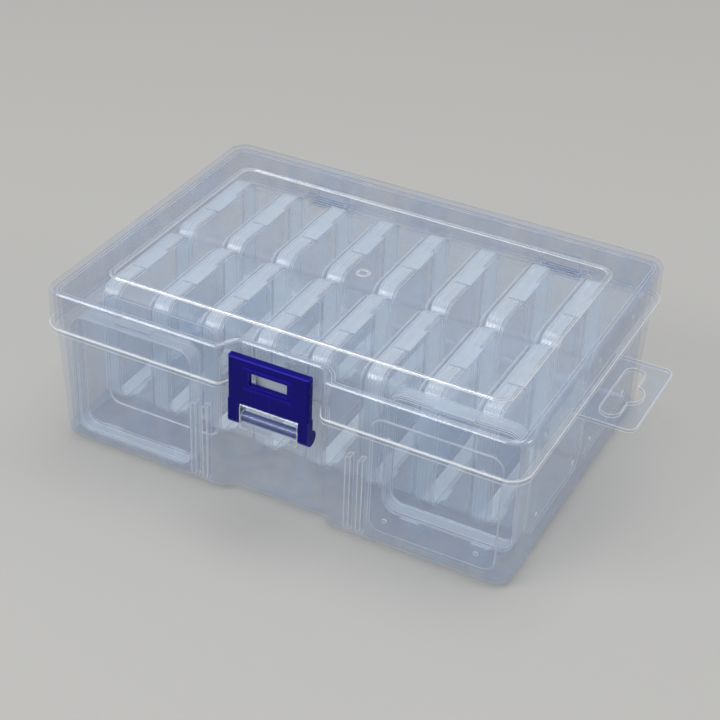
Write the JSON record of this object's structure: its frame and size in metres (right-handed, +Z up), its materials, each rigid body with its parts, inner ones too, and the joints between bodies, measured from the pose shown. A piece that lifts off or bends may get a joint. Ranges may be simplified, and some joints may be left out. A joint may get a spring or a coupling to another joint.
{
  "type": "craft storage box",
  "caption": "Clear hinged-lid craft storage box with a blue front latch and a hang tab, holding small square lidded cases that stand on edge in rows.",
  "frame": {"origin": "centre of the flat underside of the box, on the surface it stands on", "axes": "+X along the front towards the hang tab, +Y from the latch to the hinges, +Z up"},
  "size_m": [0.1821, 0.1263, 0.0573],
  "materials": {
    "clear_box": "clear, slightly milky moulded polypropylene",
    "clear_lid": "clear, slightly milky moulded polypropylene",
    "clear_case": "clear moulded polypropylene with a soft haze",
    "blue_latch": "glossy deep blue moulded plastic"
  },
  "bodies": {
    "box": {"box_body": "clear_box"},
    "lid": {"box_lid": "clear_lid"},
    "latch": {"latch": "blue_latch"},
    "front_row_case_1": {"front_row_case_1_base": "clear_case", "front_row_case_1_lid": "clear_case"},
    "front_row_case_2": {"front_row_case_2_base": "clear_case", "front_row_case_2_lid": "clear_case"},
    "front_row_case_3": {"front_row_case_3_base": "clear_case", "front_row_case_3_lid": "clear_case"},
    "front_row_case_4": {"front_row_case_4_base": "clear_case", "front_row_case_4_lid": "clear_case"},
    "front_row_case_5": {"front_row_case_5_base": "clear_case", "front_row_case_5_lid": "clear_case"},
    "front_row_case_6": {"front_row_case_6_base": "clear_case", "front_row_case_6_lid": "clear_case"},
    "front_row_case_7": {"front_row_case_7_base": "clear_case", "front_row_case_7_lid": "clear_case"},
    "front_row_case_8": {"front_row_case_8_base": "clear_case", "front_row_case_8_lid": "clear_case"},
    "back_row_case_1": {"back_row_case_1_base": "clear_case", "back_row_case_1_lid": "clear_case"},
    "back_row_case_2": {"back_row_case_2_base": "clear_case", "back_row_case_2_lid": "clear_case"},
    "back_row_case_3": {"back_row_case_3_base": "clear_case", "back_row_case_3_lid": "clear_case"},
    "back_row_case_4": {"back_row_case_4_base": "clear_case", "back_row_case_4_lid": "clear_case"},
    "back_row_case_5": {"back_row_case_5_base": "clear_case", "back_row_case_5_lid": "clear_case"},
    "back_row_case_6": {"back_row_case_6_base": "clear_case", "back_row_case_6_lid": "clear_case"},
    "back_row_case_7": {"back_row_case_7_base": "clear_case", "back_row_case_7_lid": "clear_case"},
    "back_row_case_8": {"back_row_case_8_base": "clear_case", "back_row_case_8_lid": "clear_case"},
    "left_front_case": {"left_front_case_base": "clear_case", "left_front_case_lid": "clear_case"},
    "right_front_case": {"right_front_case_base": "clear_case", "right_front_case_lid": "clear_case"}
  },
  "joints": [
    {"name": "lid_hinge", "type": "hinge", "parent": "box", "child": "lid", "pos_m": [0, 0.0629, 0.0396], "axis": [-1, 0, 0], "range_deg": [0, 180]},
    {"name": "latch_pivot", "type": "hinge", "parent": "box", "child": "latch", "pos_m": [0, -0.0582, 0.0333], "axis": [1, 0, 0], "range_deg": [0, 135]},
    {"name": "front_row_case_1_lift", "type": "slide", "parent": "box", "child": "front_row_case_1", "axis": [0, 0, 1], "range_m": [0, 0.0066]},
    {"name": "front_row_case_2_lift", "type": "slide", "parent": "box", "child": "front_row_case_2", "axis": [0, 0, 1], "range_m": [0, 0.0066]},
    {"name": "front_row_case_3_lift", "type": "slide", "parent": "box", "child": "front_row_case_3", "axis": [0, 0, 1], "range_m": [0, 0.0066]},
    {"name": "front_row_case_4_lift", "type": "slide", "parent": "box", "child": "front_row_case_4", "axis": [0, 0, 1], "range_m": [0, 0.0066]},
    {"name": "front_row_case_5_lift", "type": "slide", "parent": "box", "child": "front_row_case_5", "axis": [0, 0, 1], "range_m": [0, 0.0066]},
    {"name": "front_row_case_6_lift", "type": "slide", "parent": "box", "child": "front_row_case_6", "axis": [0, 0, 1], "range_m": [0, 0.0066]},
    {"name": "front_row_case_7_lift", "type": "slide", "parent": "box", "child": "front_row_case_7", "axis": [0, 0, 1], "range_m": [0, 0.0066]},
    {"name": "front_row_case_8_lift", "type": "slide", "parent": "box", "child": "front_row_case_8", "axis": [0, 0, 1], "range_m": [0, 0.0066]},
    {"name": "back_row_case_1_lift", "type": "slide", "parent": "box", "child": "back_row_case_1", "axis": [0, 0, 1], "range_m": [0, 0.0066]},
    {"name": "back_row_case_2_lift", "type": "slide", "parent": "box", "child": "back_row_case_2", "axis": [0, 0, 1], "range_m": [0, 0.0066]},
    {"name": "back_row_case_3_lift", "type": "slide", "parent": "box", "child": "back_row_case_3", "axis": [0, 0, 1], "range_m": [0, 0.0066]},
    {"name": "back_row_case_4_lift", "type": "slide", "parent": "box", "child": "back_row_case_4", "axis": [0, 0, 1], "range_m": [0, 0.0066]},
    {"name": "back_row_case_5_lift", "type": "slide", "parent": "box", "child": "back_row_case_5", "axis": [0, 0, 1], "range_m": [0, 0.0066]},
    {"name": "back_row_case_6_lift", "type": "slide", "parent": "box", "child": "back_row_case_6", "axis": [0, 0, 1], "range_m": [0, 0.0066]},
    {"name": "back_row_case_7_lift", "type": "slide", "parent": "box", "child": "back_row_case_7", "axis": [0, 0, 1], "range_m": [0, 0.0066]},
    {"name": "back_row_case_8_lift", "type": "slide", "parent": "box", "child": "back_row_case_8", "axis": [0, 0, 1], "range_m": [0, 0.0066]},
    {"name": "left_front_case_lift", "type": "slide", "parent": "box", "child": "left_front_case", "axis": [0, 0, 1], "range_m": [0, 0.0066]},
    {"name": "right_front_case_lift", "type": "slide", "parent": "box", "child": "right_front_case", "axis": [0, 0, 1], "range_m": [0, 0.0066]}
  ]
}
